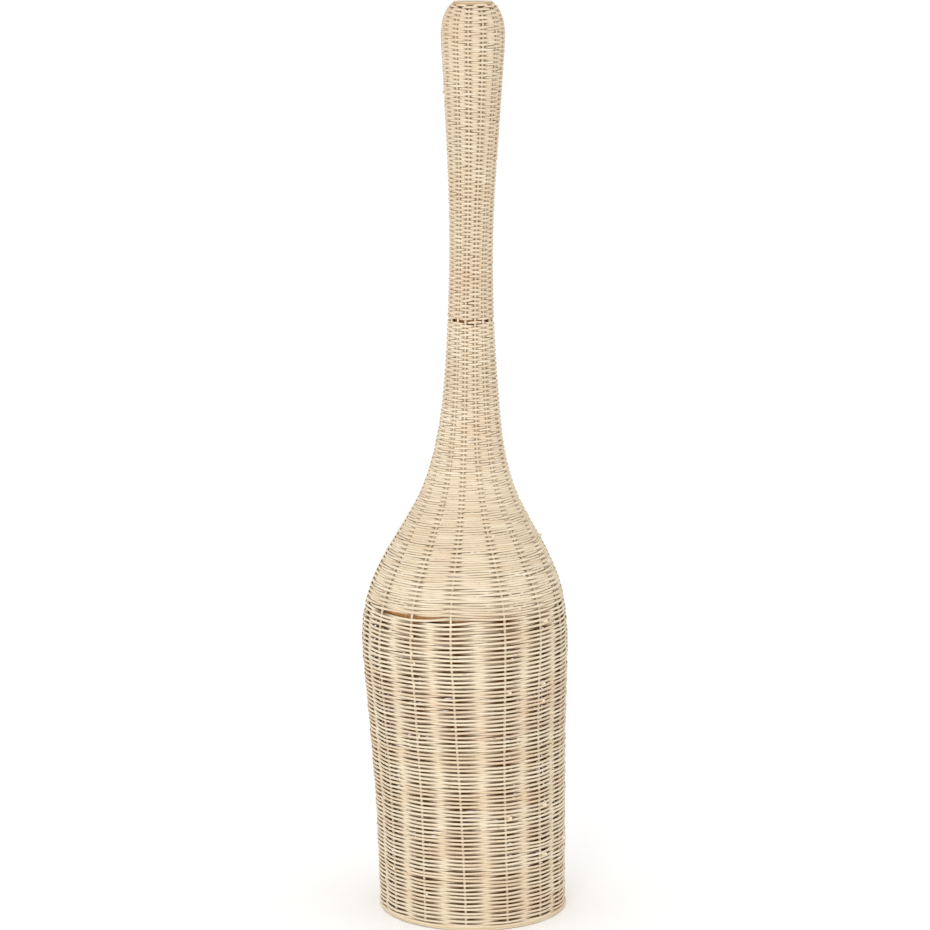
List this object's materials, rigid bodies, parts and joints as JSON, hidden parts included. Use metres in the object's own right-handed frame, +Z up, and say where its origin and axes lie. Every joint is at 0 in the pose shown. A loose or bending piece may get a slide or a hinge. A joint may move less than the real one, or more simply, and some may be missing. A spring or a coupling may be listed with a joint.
{
  "type": "woven rattan tiki torch",
  "caption": "Tall free-standing torch of woven rattan: broad barrel foot, sloping shoulder, slim neck and rounded open head that holds a lift-out oil canister with wick and snuffer.",
  "frame": {"origin": "centre of the foot board's underside, on the ground", "axes": "+Z up through the mouth; the pictured side faces -Y"},
  "size_m": [0.3427, 0.3418, 1.5],
  "materials": {
    "rattan_weave": "natural unlacquered rattan core, fine satin",
    "rattan_stake": "natural rattan core rod, satin",
    "rattan_rim": "natural rattan rod bent to a ring, satin",
    "plywood": "raw plywood",
    "steel": "galvanised, brushed",
    "brass": "brushed",
    "wick_fibre": "braided glass fibre"
  },
  "bodies": {
    "torch": {"barrel_weave": "rattan_weave", "shoulder_weave": "rattan_weave", "neck_and_head_weave": "rattan_weave", "stake_01": "rattan_stake", "stake_02": "rattan_stake", "stake_03": "rattan_stake", "stake_04": "rattan_stake", "stake_05": "rattan_stake", "stake_06": "rattan_stake", "stake_07": "rattan_stake", "stake_08": "rattan_stake", "stake_09": "rattan_stake", "stake_10": "rattan_stake", "stake_11": "rattan_stake", "stake_12": "rattan_stake", "stake_13": "rattan_stake", "stake_14": "rattan_stake", "foot_rim": "rattan_rim", "mouth_rim": "rattan_rim", "shoulder_hoop": "rattan_rim", "neck_hoop": "rattan_rim", "foot_board": "plywood", "canister_seat": "plywood"},
    "canister": {"fuel_canister": "steel"},
    "burner": {"burner_cap": "brass"},
    "wick_body": {"wick": "wick_fibre"},
    "snuffer_body": {"snuffer": "steel"}
  },
  "joints": [
    {"name": "canister_lift", "type": "slide", "parent": "torch", "child": "canister", "axis": [0, 0, 1], "range_m": [0, 0.17]},
    {"name": "burner_cap_turn", "type": "hinge", "parent": "canister", "child": "burner", "pos_m": [-0.0007, 0, 1.46], "axis": [0, 0, 1], "range_deg": [0, 540]},
    {"name": "wick_raise", "type": "slide", "parent": "burner", "child": "wick_body", "axis": [0, 0, 1], "range_m": [0, 0.006]},
    {"name": "snuffer_lift", "type": "slide", "parent": "burner", "child": "snuffer_body", "axis": [0, 0, 1], "range_m": [0, 0.05]}
  ]
}
